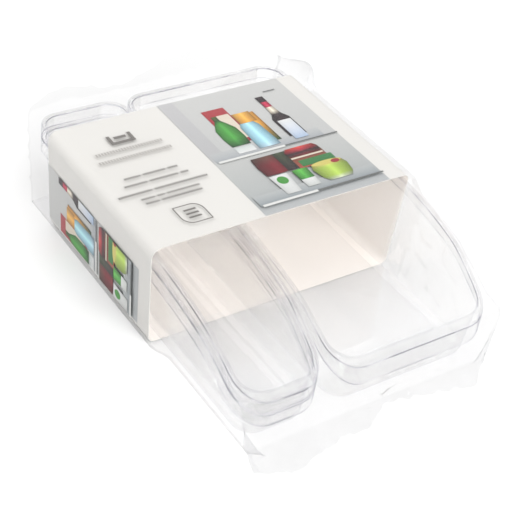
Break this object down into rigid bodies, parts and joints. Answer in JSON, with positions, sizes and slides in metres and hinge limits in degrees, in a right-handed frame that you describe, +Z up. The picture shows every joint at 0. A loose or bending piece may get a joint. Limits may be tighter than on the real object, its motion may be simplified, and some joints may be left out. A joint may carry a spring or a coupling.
{
  "type": "fridge storage bin set",
  "caption": "Clear fridge storage bins with low swept fronts, a wide one beside a nested narrow pair, in a printed card sleeve and a clear film bag.",
  "frame": {"origin": "bottom centre of the whole pack, on the surface it rests on", "axes": "+Z up, -Y towards the low fronts of the bins, +X towards the wide bin"},
  "size_m": [0.236, 0.358, 0.0908],
  "materials": {
    "clear_plastic": "clear, glossy, moulded",
    "printed_card": "off-white card, satin print",
    "clear_film": "clear crinkled film"
  },
  "bodies": {
    "bag": {"film_bag": "clear_film"},
    "sleeve": {"card_sleeve": "printed_card"},
    "wide": {"wide_bin": "clear_plastic"},
    "narrow_pair": {"narrow_bin_lower": "clear_plastic", "narrow_bin_upper": "clear_plastic"}
  },
  "joints": [
    {"name": "set_out", "type": "slide", "parent": "bag", "child": "sleeve", "axis": [0, 1, 0], "range_m": [0, 0.324]},
    {"name": "wide_bin_out", "type": "slide", "parent": "sleeve", "child": "wide", "axis": [0, 1, 0], "range_m": [0, 0.281]},
    {"name": "narrow_bins_out", "type": "slide", "parent": "sleeve", "child": "narrow_pair", "axis": [0, 1, 0], "range_m": [0, 0.281]}
  ]
}
